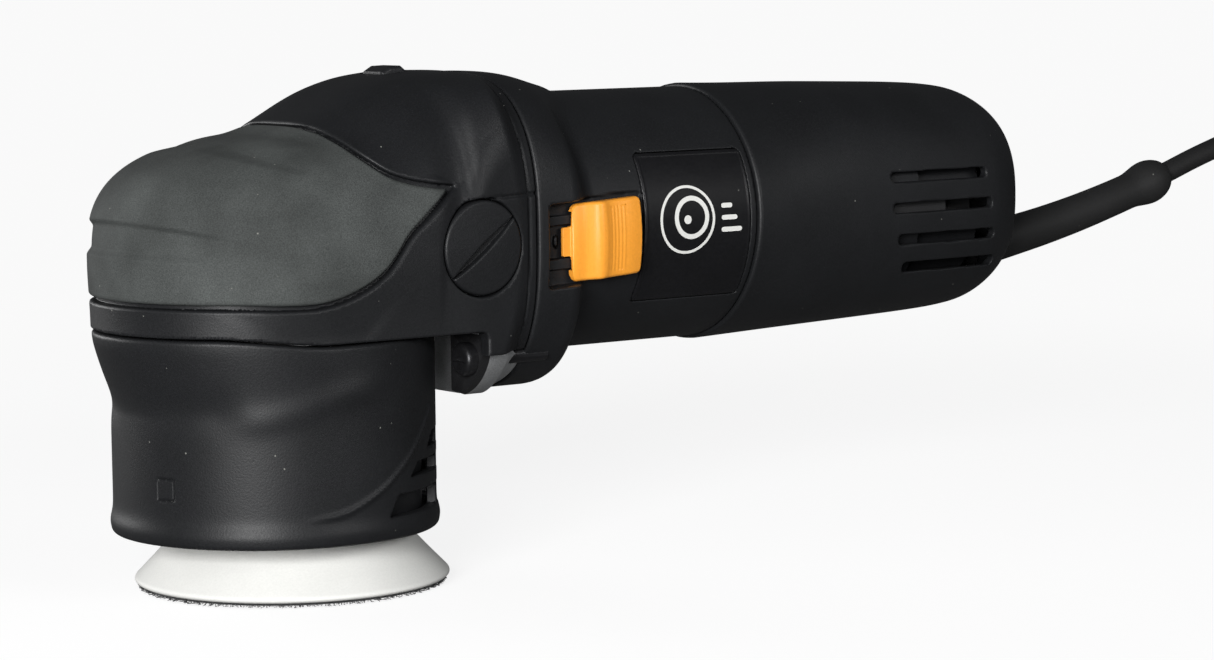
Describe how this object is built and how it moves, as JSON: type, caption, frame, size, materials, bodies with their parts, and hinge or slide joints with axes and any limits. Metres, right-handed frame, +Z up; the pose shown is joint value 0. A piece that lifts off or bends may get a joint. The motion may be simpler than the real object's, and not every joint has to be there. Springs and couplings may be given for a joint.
{
  "type": "dual action polisher",
  "caption": "Small corded dual action polisher with an angle head, a soft nose grip, a vented skirt and a free-turning orbital backing pad.",
  "frame": {"origin": "where the drive spindle's axis meets the working face of the pad", "axes": "+Z up along the drive spindle, +X back along the motor towards the cord, +Y to the tool's right-hand side; the slide switch is on the -Y side"},
  "size_m": [0.3854, 0.082, 0.1244],
  "materials": {
    "black_shell": "fine spark-eroded grain, slight sheen on worn edges",
    "grip_rubber": "soft-touch dark grey overmould, fine speckle",
    "boot_rubber": "black flexible rubber, matt",
    "slider_orange": "orange moulded plastic, satin",
    "pad_white": "off-white moulded polyurethane foam",
    "hook_black": "black hook fastener pile",
    "badge_black": "satin black panel",
    "cast_aluminium": "die cast, lightly blasted",
    "bright_steel": "ground steel",
    "bearing_steel": "polished bearing steel",
    "black_steel": "black oxide screws",
    "laminated_steel": "stacked laminations, varnished",
    "copper": "enamelled copper wire",
    "bronze": "sintered bronze",
    "brass": "bright brass",
    "zinc": "zinc die casting",
    "carbon": "pressed carbon",
    "black_nylon": "glass-filled nylon",
    "phenolic": "brown phenolic board",
    "board_green": "circuit board and parts",
    "capacitor_blue": "box capacitor, gloss",
    "dial_grey": "dark grey knurled wheel"
  },
  "bodies": {
    "housing": {"air_baffle": "black_nylon", "bearing_plate": "cast_aluminium", "bearing_plate_screws": "black_steel", "bearing_retainer": "bright_steel", "brush_holders": "brass", "brush_plate": "phenolic", "brush_springs": "bright_steel", "carbon_brushes": "carbon", "cord_boot": "boot_rubber", "cord_clamp": "black_nylon", "cord_clamp_screws": "black_steel", "field_coils": "copper", "front_bearing_outer": "bearing_steel", "gear_housing": "cast_aluminium", "gearcase_screws": "black_steel", "head_cover": "black_shell", "motor_housing": "black_shell", "name_badge": "badge_black", "nose_grip": "grip_rubber", "power_cord": "boot_rubber", "power_switch": "black_nylon", "rear_bearing_outer": "bearing_steel", "rear_cover": "black_shell", "rear_cover_screws": "black_steel", "retainer_screws": "black_steel", "shroud": "black_shell", "side_cap_left": "black_shell", "side_cap_right": "black_shell", "speed_control_board": "board_green", "spindle_bearing_outer": "bearing_steel", "stator_core": "laminated_steel", "suppression_capacitor": "capacitor_blue", "top_bushing": "bronze"},
    "armature": {"bevel_pinion": "bright_steel", "armature_shaft": "bright_steel", "lock_collar": "bright_steel", "cooling_fan": "black_nylon", "armature_core": "laminated_steel", "armature_windings": "copper", "commutator": "copper", "front_bearing_inner": "bearing_steel", "rear_bearing_inner": "bearing_steel"},
    "spindle": {"spindle_shaft": "bright_steel", "crown_gear": "bright_steel", "eccentric_hub": "zinc", "pad_bearing_clip": "black_steel", "spindle_bearing_inner": "bearing_steel", "pad_bearing_outer": "bearing_steel"},
    "pad": {"hook_face": "hook_black", "backing_plate": "pad_white", "pad_insert": "bright_steel", "pad_spindle": "bright_steel", "pad_spindle_screw": "black_steel", "pad_bearing_inner": "bearing_steel"},
    "lock": {"lock_button": "black_nylon", "lock_pin": "bright_steel", "lock_spring": "bright_steel"},
    "slider": {"switch_slider": "slider_orange", "slide_rod": "black_nylon"},
    "dial": {"speed_dial": "dial_grey"}
  },
  "joints": [
    {"name": "spindle_spin", "type": "hinge", "parent": "housing", "child": "spindle", "pos_m": [0, 0, 0], "axis": [0, 0, 1], "continuous": true},
    {"name": "armature_spin", "type": "hinge", "parent": "housing", "child": "armature", "pos_m": [0, 0, 0.0842], "axis": [1, 0, 0], "continuous": true},
    {"name": "pad_spin", "type": "hinge", "parent": "spindle", "child": "pad", "pos_m": [0.00564, 0.00205, 0], "axis": [0, 0, 1], "continuous": true},
    {"name": "switch_slide", "type": "slide", "parent": "housing", "child": "slider", "axis": [-1, 0, 0], "range_m": [0, 0.005]},
    {"name": "lock_press", "type": "slide", "parent": "housing", "child": "lock", "axis": [0, 0, -1], "range_m": [0, 0.003], "deforming": ["lock_spring"]},
    {"name": "dial_turn", "type": "hinge", "parent": "housing", "child": "dial", "pos_m": [0.2159, 0, 0.097], "axis": [0, 1, 0], "range_deg": [0, 270]}
  ],
  "couplings": [
    {"joint": "armature_spin", "follows": "spindle_spin", "ratio": 4}
  ]
}
